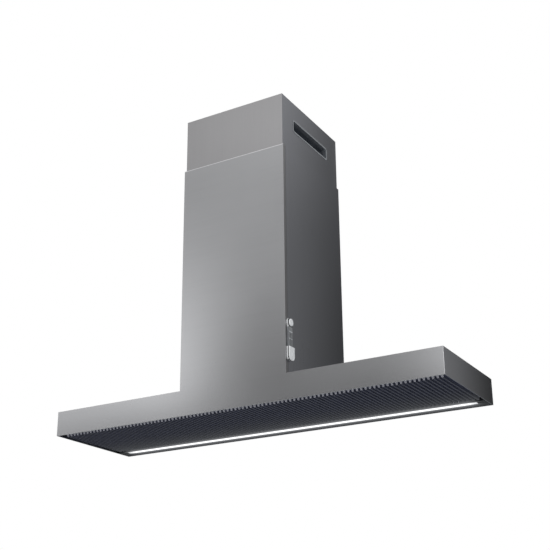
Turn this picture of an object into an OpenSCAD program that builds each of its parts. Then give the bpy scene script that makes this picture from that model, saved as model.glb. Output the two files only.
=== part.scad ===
// Wall range hood: a T-shaped front, a telescopic chimney and a ribbed panel that hides the filters.
// X runs along the wall to the right, Y points into the wall and Z points up.
// The origin is the centre of the four wall bolts, on the surface of the wall.

/* [Overall] */
// Width of the canopy
hood_w = 1200; // [1100:10:1400]
// Depth from the wall to the face of the front panel
hood_d = 340; // [330:5:400]
// Height of the canopy's fascia
fascia_h = 71; // [66:1:100]
// Width of the lower chimney
chimney_w = 334; // [324:2:380]
// Top of the lower chimney above the canopy's lower edge
lower_top = 740; // [700:5:900]
// Height of the upper cover that shows above the lower chimney
cover_shown = 165; // [150:5:200]
// Length of the upper cover
cover_len = 500; // [460:5:520]

/* [Sheet metal] */
// Thickness of the front panel
plate_t = 1.5; // [1.2:0.1:2]
// Thickness of the covers and of the canopy
sheet_t = 1.2; // [0.8:0.1:1.4]
// Thickness of the brackets and of the support frame
frame_t = 1.5; // [1.2:0.1:2.5]
// Step from the front panel's face in to the upper cover
cover_inset = 4; // [3.8:0.1:6]
// Depth of the front panel's folds beside the chimney
fold_d = 12; // [8:1:16]
// Width of the chimney covers' rear flanges
rear_flange_w = 14; // [10:1:18]

/* [Wall bolts] */
// Height of the bolts' centre above the canopy's lower edge
bolt_centre_up = 250; // [240:5:260]
// Diameter of the four wall bolt holes
bolt_hole_d = 8; // [6:0.5:10]
// Distance between the wall bolts along the wall
bolt_spacing_x = 210; // [206:1:220]
// Distance between the wall bolts up the wall
bolt_spacing_z = 240; // [200:5:250]
// Diameter of the two holes in the upper bracket
bracket_hole_d = 6; // [5:0.5:8]
// Distance between the two holes in the upper bracket
bracket_spacing = 200; // [120:5:240]

/* [Side vents] */
// Length of the vent slot
vent_w = 206; // [160:2:216]
// Height of the vent slot
vent_h = 35; // [26:1:37]
// Corner radius of the vent slot
vent_r = 8; // [4:1:12]
// Distance from the top of the upper cover to the middle of the vent
vent_drop = 75; // [70:1:90]
// Width of the vent frame's border
vent_border = 3; // [2:0.5:10]

/* [Ribbed panel] */
// Distance from one rib to the next
rib_pitch = 12; // [10:0.5:16]
// Height of the ribs
rib_h = 6.5; // [3:0.5:7]
// Width of a rib at its root
rib_root_w = 6.5; // [5:0.5:8]
// Width of a rib at its tip
rib_tip_w = 5; // [3:0.5:6]
// Thickness of the sheet that carries the ribs
rib_sheet_t = 1.5; // [1:0.1:2]
// Length of the sloped front ends of the ribs
rib_slope_l = 3; // [2:0.5:10]
// Height of the rib tips above the canopy's lower edge
rib_tip_up = 2; // [1.5:0.5:4]
// Gap between the front panel and the ribbed panel, where the air enters
intake_gap = 24; // [16:1:30]
// Gap at each end of the panel
end_gap = 7; // [6:0.5:16]
// Height of the rim of the tray behind the ribs
panel_rim_h = 7.5; // [6:0.5:8]

/* [Panel hinges] */
// Distance from the canopy's end to each hinge
hinge_end = 80; // [60:5:140]
// Radius of the hinge pins
hinge_pin_r = 1.5; // [1.2:0.1:1.8]
// Running clearance round pins and shafts
run_gap = 0.05; // [0.02:0.01:0.08]
// Height of the hinge axis above the canopy's lower edge
hinge_up = 7; // [6:0.5:8]

/* [Lamp] */
// Length of the cap at each end of the light strip
lamp_cap_l = 28; // [20:1:80]
// Width of the light strip
lamp_w = 15; // [12:1:20]
// Distance from the wall to the middle of the light strip
lamp_mid_y = 38; // [34:1:40]
// Depth of the lamp rail from the wall
rail_d = 54; // [52:1:60]

/* [Filters] */
// Width of one filter
filter_w = 290; // [240:5:340]
// Thickness of a filter
filter_t = 9; // [7:0.5:10]
// Gap between the two filters
filter_space = 12; // [8:1:30]
// Height of the inner tray above the canopy's lower edge
tray_up = 34; // [32:0.5:36]

/* [Blower] */
// Radius of the impeller
impeller_r = 82; // [70:1:84]
// Length of the impeller
impeller_l = 160; // [130:2:164]
// Number of blades round the impeller
blade_count = 36; // [24:2:44]
// Width of the blower housing
blower_w = 190; // [180:2:196]
// Height of the blower's axis above the canopy's lower edge
blower_up = 215; // [210:1:225]
// Distance from the wall to the blower's axis
blower_y = 122; // [120:1:130]
// Radius of the motor's case
motor_r = 45; // [36:1:50]
// Radius of the motor's shaft
shaft_r = 4; // [3:0.5:5]

/* [Duct] */
// Radius of the flexible duct inside
duct_r = 75.4; // [70.4:0.5:77.4]
// Pitch of the duct's ribs
duct_pitch = 8; // [6:0.5:12]
// Height of the duct's ribs
duct_rib_h = 5; // [3:0.5:7]

/* [Control] */
// Distance from the front panel's face to the middle of the control
control_back = 19; // [18:0.5:24]
// Height of the lamp button's middle above the canopy's lower edge
button_up = 213; // [206:1:225]
// Radius of the lamp button's cap
button_r = 10.5; // [9:0.5:12]
// Height of the slider's lower end above the canopy's lower edge
slider_low = 107; // [98:1:110]
// Height of the slider's grip
slider_h = 38; // [34:1:42]
// Width of the slider's grip
slider_w = 28; // [25:1:30]
// Width of the bar that the slider runs on
bar_w = 17; // [14:1:18]
// How far the control stands out of the chimney's side
control_out = 8.5; // [8:0.5:10]

/* [Hidden] */
$fn = 72;
// Overrun of cuts past a surface
over = 1;
// Gap between fixed pieces that seat on each other
seat_gap = 0.3;
// Thickness of thin plastic walls
skin_t = 1.5;

// Faces of the front panel and of the canopy
front_y = -hood_d;
shell_y = front_y + plate_t;
shell_in_y = shell_y + sheet_t;
shell_in_x = hood_w / 2 - sheet_t;
shell_in_z = fascia_h - sheet_t;

// Faces of the lower chimney cover
side_x = chimney_w / 2;
side_in_x = side_x - sheet_t;
leg_x = side_x - plate_t;
seam_gap = 1.2;
seam_y = front_y + fold_d + seam_gap;

// Faces of the upper cover
cover_top = lower_top + cover_shown;
cover_low = cover_top - cover_len;
cover_x = side_x - cover_inset;
cover_in_x = cover_x - sheet_t;
cover_y = front_y + cover_inset;
cover_back_gap = 0.8;
cover_back_y = -sheet_t - cover_back_gap;
cover_flange_w = rear_flange_w - 2 * sheet_t;

// Nylon glides between the two covers
glide_w = 12;
glide_h = 60;
glide_inset = 34;
glide_drop = 15;

// Vent, deflector and upper bracket
vent_z = cover_top - vent_drop;
vent_y = front_y / 2;
vent_lip_t = 1;
vent_sleeve_gap = 0.2;
vent_sleeve_l = 12.7;
deflector_x = cover_x - vent_sleeve_l - seat_gap;
deflector_spare = 1;
deflector_t = 2;
deflector_w = vent_w + 2 * deflector_spare + 2 * deflector_t;
deflector_h = vent_h + 2 * deflector_spare + 2 * deflector_t;
deflector_top = vent_z + deflector_h / 2;
bracket_h = 40;
bracket_hole_share = 0.6;
bracket_gap = 3.5;
bracket_wall_x = cover_x - cover_flange_w - bracket_gap;
bracket_leg_d = 34;
bracket_tab_d = 60;
tongue_w = 80;
tongue_l = 110;

// Wall rail for the light strip
rail_up = 1.5;
rail_t = 1.5;
rail_flange_h = 18;
lamp_ledge = 2;
lamp_box_w = lamp_w + 2 * lamp_ledge;
lamp_box_h = 13;
lamp_board_t = 1;
diffuser_t = 1.2;
diffuser_gap = 0.2;
rail_end_gap = 1;
rail_x = shell_in_x - rail_end_gap;
lamp_x = rail_x - lamp_cap_l;

// Place of the ribbed panel and of its hinge
hinge_gap = 5;
hinge_y = -rail_d - hinge_gap;
hinge_reach = 4;
hinge_x = hood_w / 2 - hinge_end;
panel_front_y = shell_in_y + intake_gap;
panel_back_y = hinge_y - hinge_reach;
panel_d = panel_back_y - panel_front_y;
panel_x = shell_in_x - end_gap;
rib_count = floor(2 * panel_x / rib_pitch);
rib_root_up = rib_tip_up + rib_h;
panel_top = rib_root_up + rib_sheet_t;
panel_sheet_t = 1;
panel_rim_top = panel_top + panel_rim_h;
knuckle_r = 3.3;
knuckle_w = 11.6;
lug_h = 6;
ear_t = 2;
ear_r = 3.5;
ear_gap = 0.2;
hinge_head_r = 2.6;
hinge_head_t = 1.2;
hinge_foot_w = 30;

// Magnetic catches
catch_end = 200;
catch_x = hood_w / 2 - catch_end;
catch_w = 34;
catch_d = 12;
catch_back = 3;
catch_plate_w = 30;
catch_plate_t = 1.2;

// Inner tray and filters
tray_t = 1;
tray_rim_h = 10;
tray_top = tray_up + tray_t;
filter_margin = 16;
filter_d = panel_d - 2 * filter_margin;
filter_y = (panel_front_y + panel_back_y) / 2;
filter_x = (filter_w + filter_space) / 2;
filter_top = tray_up - seat_gap;
filter_low = filter_top - filter_t;
filter_rim = 10;
mesh_pitch = 15;
mesh_bar = 3;
mesh_t = 5;
rail_lip_d = 8;
rail_lip_t = 1;
rail_foot_d = 10;

// Filter latches
latch_w = 24;
latch_l = 16;
latch_t = 5;
latch_travel = 6;
latch_gap = 0.3;
latch_rim = 8;
latch_back = 9;
tongue_t = 2;
tongue_in_w = 16;
latch_reach = 4.5;
tab_t = 2.5;
keeper_d = 5;
keeper_w = 40;

// Boxes above the inner tray
box_headroom = 4;
box_h = shell_in_z - tray_top - box_headroom;
box_w = 200;
box_d = 120;
box_end = 160;
box_x = hood_w / 2 - box_end;
box_t = 2;
box_y = filter_y;
driver_w = 150;
driver_d = 42;
gland_r = 8;
gland_l = 16;
gland_nut_r = 11;
gland_bore_r = 4;

// Scroll of the blower
wall_t = 2;
scroll_room = 46;
scroll_tight = 13;
outlet_neck = 7;
scroll_turn = 270;
scroll_steps = 45;
scroll_r0 = impeller_r + scroll_room;
scroll_r1 = impeller_r + scroll_tight;
scroll_top = scroll_r0 + outlet_neck;
outlet_y = -blower_y - scroll_r0 / 2;
outlet_up = blower_up + scroll_top;
inlet_share = 0.8;
inlet_r = impeller_r * inlet_share;
inlet_lip = 14;
inlet_curl_r = 3;
inlet_depth = 10;

// Impeller and motor
impeller_ring_t = 3;
impeller_disc_t = 2;
blade_depth = 15;
impeller_in_r = impeller_r - blade_depth;
blade_t = 1.2;
blade_curve_r = 12;
hub_r = 14;
hub_l = 24;
hub_gap = 4;
motor_back_x = blower_w / 2 + frame_t;
motor_front_x = hub_l / 2 + hub_gap;
motor_wall_t = 2;
bell_t = 10;
bearing_r = 11;
bearing_l = 8;
shaft_room = 2;
shaft_hole_r = shaft_r + shaft_room;
shaft_tip = 3;
stator_margin = 10;
rotor_r = 24;
rotor_gap = 0.3;
rotor_margin = 12;
bracket_arm_w = 14;
bracket_arm_over = 18;
bracket_arm_r = impeller_r + bracket_arm_over;
bracket_arm_t = 2.5;
capacitor_r = 14;
capacitor_h = 60;
capacitor_up = 200;

// Support frame on the wall
frame_border = 20;
frame_x = bolt_spacing_x / 2 + frame_border;
frame_top = bolt_centre_up + bolt_spacing_z / 2 + frame_border;
cheek_x = blower_w / 2;
cheek_border = 10;
cheek_top = blower_up + scroll_r0;
cheek_d = blower_y + scroll_r0 + cheek_border;
cheek_hole_room = 4;
cheek_hole_r = impeller_r + cheek_hole_room;
cheek_cut = 60;
foot_w = 15;
foot_back = 20;
air_hole_gap = 3;
air_hole_x0 = cheek_x + frame_t + foot_w + air_hole_gap;
air_hole_x1 = side_in_x - 2 * air_hole_gap;
air_hole_w = air_hole_x1 - air_hole_x0;
air_hole_short = 8;
air_hole_l = cheek_d - foot_back - air_hole_short;
air_hole_y = -foot_back - air_hole_l / 2;
air_hole_r = 6;

// Outlet collar, its flaps and the duct
collar_t = 2;
duct_fit = 0.4;
collar_r = duct_r - duct_fit;
collar_in_r = collar_r - collar_t;
collar_base_t = 3;
collar_h = 60;
collar_top = outlet_up + collar_base_t + collar_h;
flap_over_base = 22;
flap_up = outlet_up + collar_base_t + flap_over_base;
flap_t = 1.5;
flap_gap = 0.7;
flap_r = collar_in_r - flap_gap;
flap_rod_r = 2;
flap_knuckle_r = 3.2;
flap_split = 0.4;
flap_free_gap = 0.3;
flap_free_r = flap_knuckle_r + flap_free_gap;
flap_seat_w = 3;
flap_seat_h = 2;
flap_seat_gap = 0.25;
duct_t = 0.8;
duct_grip = 30;
spigot_l = 40;
spigot_low = vent_z - deflector_h / 2 - spigot_l;
duct_low = collar_top - duct_grip;
duct_top = spigot_low + duct_grip;
duct_rib_low = duct_low + duct_grip;
duct_rib_count = floor((duct_top - duct_grip - duct_rib_low) / duct_pitch);
duct_rib_pitch = (duct_top - duct_grip - duct_rib_low) / duct_rib_count;
clamp_h = 9;
clamp_t = 1.4;
clamp_in = 8;

// Control on the chimney's right side
control_y = front_y + control_back;
bar_back = 3;
bar_out = control_out - bar_back;
pad_border = 2;
pad_r = button_r + pad_border;
pad_out = 4.5;
pad_floor = 1.5;
pad_gap = 0.3;
button_travel = 1.5;
button_spare = 0.2;
button_low = pad_floor + button_travel + button_spare;
button_stem_r = 2.5;
button_edge_r = 2;
button_stem_gap = 1;
button_stem_l = 12.5;
slider_travel = 53;
slider_gap = 0.3;
slider_groove_low = 4.8;
slider_groove_w = 1.6;
slider_groove_d = 1.2;
stem_w = 3;
stem_h = 6;
stem_side_gap = 0.5;
stem_slot_w = stem_w + 2 * stem_side_gap;
stem_up = slider_low + slider_h / 2;
stem_l = 15;
control_case_x = leg_x - sheet_t - seat_gap;
control_case_d = 18;
control_case_w = 27;
case_border = 2;
control_case_low = slider_low - case_border;
control_case_top = button_up + pad_r + case_border;
board_x = control_case_x - control_case_d + skin_t;
board_t = 1.6;
stem_room = side_x - stem_l - board_x - board_t;
switch_w = 8;
switch_h = 3.7;
track_w = 6;
track_h = stem_room - seat_gap;

// Hangs what is drawn from the canopy's lower edge, so that the origin is at the wall bolts.
module hang() {
    translate([0, 0, -bolt_centre_up]) children();
}

// Draws its children on the right and mirrored on the left.
module both_sides() {
    children();
    mirror([1, 0, 0]) children();
}

// Block from one corner to the opposite corner.
module span(low, high) {
    translate(low) cube(high - low);
}

// Extrudes an outline drawn as depth and height along the width, from x0 to x1.
module along_x(x0, x1) {
    translate([x0, 0, 0]) rotate([90, 0, 90]) linear_extrude(x1 - x0) children();
}

// Extrudes a floor plan upwards, from z0 to z1.
module upwards(z0, z1) {
    translate([0, 0, z0]) linear_extrude(z1 - z0) children();
}

// Turns a profile drawn as radius and place round an axis that runs along X.
module turned_x(y, z) {
    translate([0, y, z]) rotate([90, 0, 90]) rotate_extrude() children();
}

// Rectangle with round corners, about its centre.
module round_rect(w, h, r) {
    square([w - 2 * r, h], center = true);
    square([w, h - 2 * r], center = true);
    for (x = [-1, 1], y = [-1, 1])
        translate([x * (w / 2 - r), y * (h / 2 - r)]) circle(r);
}

// Closes a half outline with its mirror image.
function mirrored(half) = concat(half, [for (i = [len(half) - 1:-1:0]) [-half[i][0], half[i][1]]]);

// Sheet metal shells

module front_panel() {
    outline = [[side_x, fascia_h], [side_x, lower_top], [-side_x, lower_top], [-side_x, fascia_h],
        [-hood_w / 2, fascia_h], [-hood_w / 2, 0], [hood_w / 2, 0], [hood_w / 2, fascia_h]];
    color("silver") hang() {
        translate([0, shell_y, 0]) rotate([90, 0, 0]) linear_extrude(plate_t) polygon(outline);
        both_sides() span([leg_x, front_y + plate_t / 2, fascia_h], [side_x, front_y + fold_d, lower_top]);
    }
}

module lower_chimney_cover() {
    half = [[leg_x, shell_y], [leg_x, seam_y], [side_x, seam_y], [side_x, 0],
        [side_x - rear_flange_w, 0], [side_x - rear_flange_w, -sheet_t], [side_in_x, -sheet_t],
        [side_in_x, seam_y + sheet_t], [leg_x - sheet_t, seam_y + sheet_t],
        [leg_x - sheet_t, shell_in_y]];
    slot_low = stem_up - stem_h;
    slot_top = stem_up + slider_travel + stem_h;
    color("dimgray") hang() difference() {
        upwards(fascia_h, lower_top) polygon(mirrored(half));
        span([side_in_x - over, control_y - stem_slot_w / 2, slot_low],
            [side_x + over, control_y + stem_slot_w / 2, slot_top]);
        translate([side_in_x - over, control_y, button_up]) rotate([0, 90, 0])
            cylinder(h = sheet_t + 2 * over, r = button_stem_r + button_stem_gap);
    }
}

module canopy_shell() {
    color("gray") hang() difference() {
        span([-hood_w / 2, shell_y, 0], [hood_w / 2, 0, fascia_h]);
        span([-shell_in_x, shell_in_y, -over], [shell_in_x, -sheet_t, shell_in_z]);
        both_sides() translate([air_hole_x0 + air_hole_w / 2, air_hole_y, 0])
            upwards(shell_in_z - over, fascia_h + over) round_rect(air_hole_w, air_hole_l, air_hole_r);
    }
}

module upper_chimney_cover() {
    half = [[cover_x, cover_y], [cover_x, cover_back_y], [cover_x - cover_flange_w, cover_back_y],
        [cover_x - cover_flange_w, cover_back_y - sheet_t], [cover_in_x, cover_back_y - sheet_t],
        [cover_in_x, cover_y + sheet_t]];
    color("silver") hang() difference() {
        upwards(cover_low, cover_top) polygon(mirrored(half));
        both_sides() translate([0, vent_y, vent_z]) along_x(cover_in_x - over, cover_x + over)
            round_rect(vent_w, vent_h, vent_r);
    }
}

// Air guides in the upper cover

module vent_frame_right() {
    sleeve_w = vent_w - 2 * vent_sleeve_gap;
    sleeve_h = vent_h - 2 * vent_sleeve_gap;
    sleeve_r = vent_r - vent_sleeve_gap;
    color([0.2, 0.21, 0.22]) hang() translate([0, vent_y, vent_z]) difference() {
        union() {
            along_x(cover_x - vent_sleeve_l, cover_x + vent_lip_t) round_rect(sleeve_w, sleeve_h, sleeve_r);
            along_x(cover_x, cover_x + vent_lip_t)
                round_rect(vent_w + 2 * vent_border, vent_h + 2 * vent_border, vent_r + vent_border);
        }
        along_x(cover_x - vent_sleeve_l - over, cover_x + vent_lip_t + over)
            round_rect(sleeve_w - 2 * skin_t, sleeve_h - 2 * skin_t, sleeve_r - skin_t);
    }
}

module vent_frame_left() {
    mirror([1, 0, 0]) vent_frame_right();
}

module air_deflector() {
    inner_w = deflector_w - 2 * deflector_t;
    inner_h = deflector_h - 2 * deflector_t;
    color([0.25, 0.26, 0.28]) hang() difference() {
        union() {
            translate([0, vent_y, vent_z]) along_x(-deflector_x, deflector_x)
                round_rect(deflector_w, deflector_h, vent_r);
            translate([0, outlet_y, spigot_low]) cylinder(h = spigot_l + deflector_t, r = collar_r);
        }
        translate([0, vent_y, vent_z]) along_x(-deflector_x - over, deflector_x + over)
            round_rect(inner_w, inner_h, vent_r - deflector_t);
        translate([0, outlet_y, spigot_low - over])
            cylinder(h = spigot_l + deflector_t + 2 * over, r = collar_in_r);
    }
}

module upper_bracket() {
    tab_x = cover_in_x;
    half = [[bracket_wall_x, 0], [bracket_wall_x, frame_t - bracket_leg_d],
        [tab_x, frame_t - bracket_leg_d], [tab_x, -bracket_tab_d], [tab_x - frame_t, -bracket_tab_d],
        [tab_x - frame_t, -bracket_leg_d], [bracket_wall_x - frame_t, -bracket_leg_d],
        [bracket_wall_x - frame_t, -frame_t]];
    color("lightgray") hang() difference() {
        union() {
            upwards(deflector_top, deflector_top + bracket_h) polygon(mirrored(half));
            span([-tongue_w / 2, -tongue_l, deflector_top],
                [tongue_w / 2, -frame_t / 2, deflector_top + frame_t]);
        }
        both_sides() translate([bracket_spacing / 2, over, deflector_top + bracket_h * bracket_hole_share])
            rotate([90, 0, 0]) cylinder(h = frame_t + 2 * over, r = bracket_hole_d / 2);
    }
}

module cover_glides() {
    glide_top = lower_top - glide_drop;
    color("white") hang() both_sides() for (y = [seam_y + glide_inset, -glide_inset])
        span([cover_x + seat_gap, y - glide_w / 2, glide_top - glide_h],
            [side_in_x, y + glide_w / 2, glide_top]);
}

// Canopy inside

// Front and back channels, two end plates and a middle bar, with the filters in the holes between them.
module inner_tray() {
    x = shell_in_x - seat_gap;
    y0 = shell_in_y + seat_gap;
    y1 = -sheet_t - seat_gap;
    hole_x0 = filter_x - filter_w / 2 + filter_rim;
    hole_x1 = filter_x + filter_w / 2 - filter_rim;
    hole_y0 = filter_y - filter_d / 2 + filter_rim;
    hole_y1 = filter_y + filter_d / 2 - filter_rim;
    rim_top = tray_top + tray_rim_h;
    color("darkgray") hang() {
        span([-x, y0, tray_up], [x, hole_y0, tray_top]);
        span([-x, y0, tray_up], [x, y0 + tray_t, rim_top]);
        span([-x, hole_y1, tray_up], [x, y1, tray_top]);
        span([-x, y1 - tray_t, tray_up], [x, y1, rim_top]);
        span([-hole_x0, hole_y0 + seat_gap, tray_up], [hole_x0, hole_y1 - seat_gap, tray_top]);
        both_sides() {
            span([hole_x1, hole_y0 + seat_gap, tray_up], [x, hole_y1 - seat_gap, tray_top]);
            span([x - tray_t, hole_y0 + seat_gap, tray_up], [x, hole_y1 - seat_gap, rim_top]);
        }
    }
}

// Angles under the tray: the filters hook over the back ones and latch to the front ones.
module filter_rails() {
    lip_y = filter_y + filter_d / 2 + seat_gap;
    keeper_y = filter_y - filter_d / 2 - keeper_d;
    lip_z = filter_low - seat_gap - rail_lip_t;
    keeper_z = filter_low + latch_t / 2 - tongue_t / 2 - rail_lip_t;
    top = tray_up - seat_gap;
    x0 = filter_x - filter_w / 2;
    x1 = filter_x + filter_w / 2;
    k0 = filter_x - keeper_w / 2;
    k1 = filter_x + keeper_w / 2;
    color("silver") hang() both_sides() {
        span([x0, lip_y, lip_z], [x1, lip_y + rail_lip_t, top]);
        span([x0, lip_y - rail_lip_d, lip_z], [x1, lip_y + rail_lip_t, lip_z + rail_lip_t]);
        span([x0, lip_y, top - rail_lip_t], [x1, lip_y + rail_foot_d, top]);
        span([k0, keeper_y - rail_lip_t, keeper_z], [k1, keeper_y, top]);
        span([k0, keeper_y - rail_lip_t, keeper_z],
            [k1, keeper_y + keeper_d - seat_gap, keeper_z + rail_lip_t]);
        span([k0, keeper_y - rail_foot_d, top - rail_lip_t], [k1, keeper_y, top]);
    }
}

// Pocket and channel that a latch slides in, with room all round it.
module latch_space() {
    pocket_y = filter_y - filter_d / 2 + latch_back;
    z0 = filter_low + latch_gap;
    span([filter_x - latch_w / 2 - latch_gap, pocket_y - latch_gap, filter_low - over],
        [filter_x + latch_w / 2 + latch_gap, pocket_y + latch_l + latch_travel + latch_gap,
            z0 + latch_t + latch_gap]);
    span([filter_x - tongue_in_w / 2 - latch_gap, filter_y - filter_d / 2 - over,
            z0 + latch_t / 2 - tongue_t / 2 - latch_gap],
        [filter_x + tongue_in_w / 2 + latch_gap, pocket_y, z0 + latch_t / 2 + tongue_t / 2 + latch_gap]);
}

module filter_frame_right() {
    boss_w = latch_w + 2 * latch_rim;
    boss_l = latch_back + latch_l + latch_travel + latch_rim;
    front = filter_y - filter_d / 2;
    color("darkgray") hang() difference() {
        union() {
            difference() {
                translate([filter_x, filter_y, 0]) upwards(filter_low, filter_top)
                    square([filter_w, filter_d], center = true);
                translate([filter_x, filter_y, 0]) upwards(filter_low - over, filter_top + over)
                    square([filter_w - 2 * filter_rim, filter_d - 2 * filter_rim], center = true);
            }
            span([filter_x - boss_w / 2, front + filter_rim / 2, filter_low],
                [filter_x + boss_w / 2, front + boss_l, filter_top]);
        }
        latch_space();
    }
}

module filter_frame_left() {
    mirror([1, 0, 0]) filter_frame_right();
}

module filter_mesh_right() {
    w = filter_w - 2 * filter_rim;
    d = filter_d - 2 * filter_rim;
    boss_w = latch_w + 2 * latch_rim + 2 * latch_gap;
    boss_l = latch_back + latch_l + latch_travel + latch_rim + latch_gap - filter_rim;
    nx = floor((w - mesh_bar) / mesh_pitch);
    ny = floor((d - mesh_bar) / mesh_pitch);
    z0 = (filter_low + filter_top - mesh_t) / 2;
    color("lightgray") hang() translate([filter_x, filter_y, 0]) upwards(z0, z0 + mesh_t) difference() {
        square([w, d], center = true);
        translate([0, (boss_l - d) / 2]) square([boss_w, boss_l], center = true);
        for (i = [0:nx - 1], j = [0:ny - 1]) {
            x = (i - (nx - 1) / 2) * mesh_pitch;
            y = (j - (ny - 1) / 2) * mesh_pitch;
            if (abs(x) > boss_w / 2 + mesh_pitch / 2 || y > boss_l - d / 2 + mesh_pitch / 2)
                translate([x, y]) square(mesh_pitch - mesh_bar, center = true);
        }
    }
}

module filter_mesh_left() {
    mirror([1, 0, 0]) filter_mesh_right();
}

module filter_latch_right() {
    pocket_y = filter_y - filter_d / 2 + latch_back;
    z0 = filter_low + latch_gap;
    mid = z0 + latch_t / 2;
    color("black") hang() {
        span([filter_x - latch_w / 2, pocket_y, z0],
            [filter_x + latch_w / 2, pocket_y + latch_l, z0 + latch_t]);
        span([filter_x - tongue_in_w / 2, filter_y - filter_d / 2 - latch_reach, mid - tongue_t / 2],
            [filter_x + tongue_in_w / 2, pocket_y + latch_l / 2, mid + tongue_t / 2]);
        span([filter_x - latch_w / 2, pocket_y + latch_l / 3, filter_low - tab_t],
            [filter_x + latch_w / 2, pocket_y + latch_l / 2, z0 + latch_t / 2]);
    }
}

module filter_latch_left() {
    mirror([1, 0, 0]) filter_latch_right();
}

// Ribbed panel and its hinge

module ribbed_panel() {
    half_rib = (rib_root_w - rib_tip_w) / 2;
    first_x = -(rib_count - 1) * rib_pitch / 2;
    ribs = [for (i = [0:rib_count - 1]) let (x = first_x + i * rib_pitch)
        each [[x - rib_root_w / 2, rib_root_up], [x - rib_root_w / 2 + half_rib, rib_tip_up],
            [x + rib_root_w / 2 - half_rib, rib_tip_up], [x + rib_root_w / 2, rib_root_up]]];
    outline = concat([[-panel_x, panel_top], [-panel_x, rib_root_up]], ribs,
        [[panel_x, rib_root_up], [panel_x, panel_top]]);
    wedge = [[panel_front_y - over, rib_tip_up - over], [panel_front_y + rib_slope_l, rib_tip_up - over],
        [panel_front_y + rib_slope_l, rib_tip_up], [panel_front_y, rib_root_up],
        [panel_front_y - over, rib_root_up]];
    color([0.16, 0.17, 0.21]) hang() difference() {
        translate([0, panel_back_y, 0]) rotate([90, 0, 0]) linear_extrude(panel_d) polygon(outline);
        along_x(-panel_x - over, panel_x + over) polygon(wedge);
    }
}

module panel_tray() {
    x = panel_x - panel_sheet_t;
    y0 = panel_front_y + panel_sheet_t;
    color([0.2, 0.21, 0.25]) hang() difference() {
        union() {
            difference() {
                span([-x, y0, panel_top], [x, panel_back_y, panel_rim_top]);
                span([panel_sheet_t - x, y0 + panel_sheet_t, panel_top + panel_sheet_t],
                    [x - panel_sheet_t, panel_back_y - panel_sheet_t, panel_rim_top + over]);
            }
            both_sides() {
                span([hinge_x - knuckle_w / 2, panel_back_y, hinge_up],
                    [hinge_x + knuckle_w / 2, hinge_y, hinge_up + lug_h]);
                translate([hinge_x - knuckle_w / 2, hinge_y, hinge_up]) rotate([0, 90, 0])
                    cylinder(h = knuckle_w, r = knuckle_r);
            }
        }
        both_sides() translate([hinge_x - knuckle_w / 2 - over, hinge_y, hinge_up]) rotate([0, 90, 0])
            cylinder(h = knuckle_w + 2 * over, r = hinge_pin_r + run_gap);
    }
}

module hinge_brackets() {
    ear_x = knuckle_w / 2 + ear_gap;
    color("gray") hang() both_sides() difference() {
        union() {
            for (x = [hinge_x - ear_x - ear_t, hinge_x + ear_x]) {
                span([x, hinge_y - ear_r, hinge_up], [x + ear_t, hinge_y + ear_r, tray_up]);
                translate([x, hinge_y, hinge_up]) rotate([0, 90, 0]) cylinder(h = ear_t, r = ear_r);
            }
            span([hinge_x - hinge_foot_w / 2, hinge_y - ear_r, tray_up - frame_t],
                [hinge_x + hinge_foot_w / 2, hinge_y + ear_r, tray_up]);
        }
        translate([hinge_x - hinge_foot_w / 2, hinge_y, hinge_up]) rotate([0, 90, 0])
            cylinder(h = hinge_foot_w, r = hinge_pin_r + run_gap);
    }
}

module hinge_pins() {
    ear_x = knuckle_w / 2 + ear_gap + ear_t;
    color("silver") hang() both_sides() translate([hinge_x - ear_x - hinge_head_t, hinge_y, hinge_up])
        rotate([0, 90, 0]) {
            cylinder(h = 2 * ear_x + 2 * hinge_head_t, r = hinge_pin_r);
            cylinder(h = hinge_head_t - seat_gap / 2, r = hinge_head_r);
            translate([0, 0, 2 * ear_x + hinge_head_t + seat_gap / 2])
                cylinder(h = hinge_head_t - seat_gap / 2, r = hinge_head_r);
        }
}

module catch_plates() {
    y0 = panel_front_y + 2 * panel_sheet_t + catch_back;
    z0 = panel_top + panel_sheet_t;
    leg = [[y0, z0], [y0 + catch_plate_t, z0], [y0 + catch_plate_t, panel_rim_top - catch_plate_t],
        [y0 + catch_d - catch_plate_t, panel_rim_top - catch_plate_t], [y0 + catch_d - catch_plate_t, z0],
        [y0 + catch_d, z0], [y0 + catch_d, panel_rim_top], [y0, panel_rim_top]];
    color("silver") hang() both_sides()
        along_x(catch_x - catch_plate_w / 2, catch_x + catch_plate_w / 2) polygon(leg);
}

module catch_magnets() {
    y0 = panel_front_y + 2 * panel_sheet_t + catch_back;
    color("black") hang() both_sides()
        span([catch_x - catch_w / 2, y0, panel_rim_top + seat_gap],
            [catch_x + catch_w / 2, y0 + catch_d, tray_up]);
}

// Lamp

module lamp_rail() {
    low = rail_up;
    box_low = low + rail_t;
    mid = -lamp_mid_y;
    color([0.35, 0.36, 0.37]) hang() along_x(-rail_x, rail_x) difference() {
        union() {
            translate([-rail_d, low]) square([rail_d - sheet_t, rail_t]);
            translate([-rail_d, low]) square([rail_t, rail_flange_h]);
            translate([-sheet_t - rail_t, low]) square([rail_t, rail_flange_h]);
            translate([mid - lamp_box_w / 2 - rail_t, low])
                square([lamp_box_w + 2 * rail_t, lamp_box_h + 2 * rail_t]);
        }
        translate([mid - lamp_box_w / 2, box_low]) square([lamp_box_w, lamp_box_h]);
        translate([mid - lamp_w / 2, low - over]) square([lamp_w, rail_t + 2 * over]);
    }
}

module lamp_board() {
    top = rail_up + rail_t + lamp_box_h;
    color("white") hang() span([-lamp_x, -lamp_mid_y - lamp_w / 2, top - lamp_board_t],
        [lamp_x, -lamp_mid_y + lamp_w / 2, top]);
}

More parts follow.
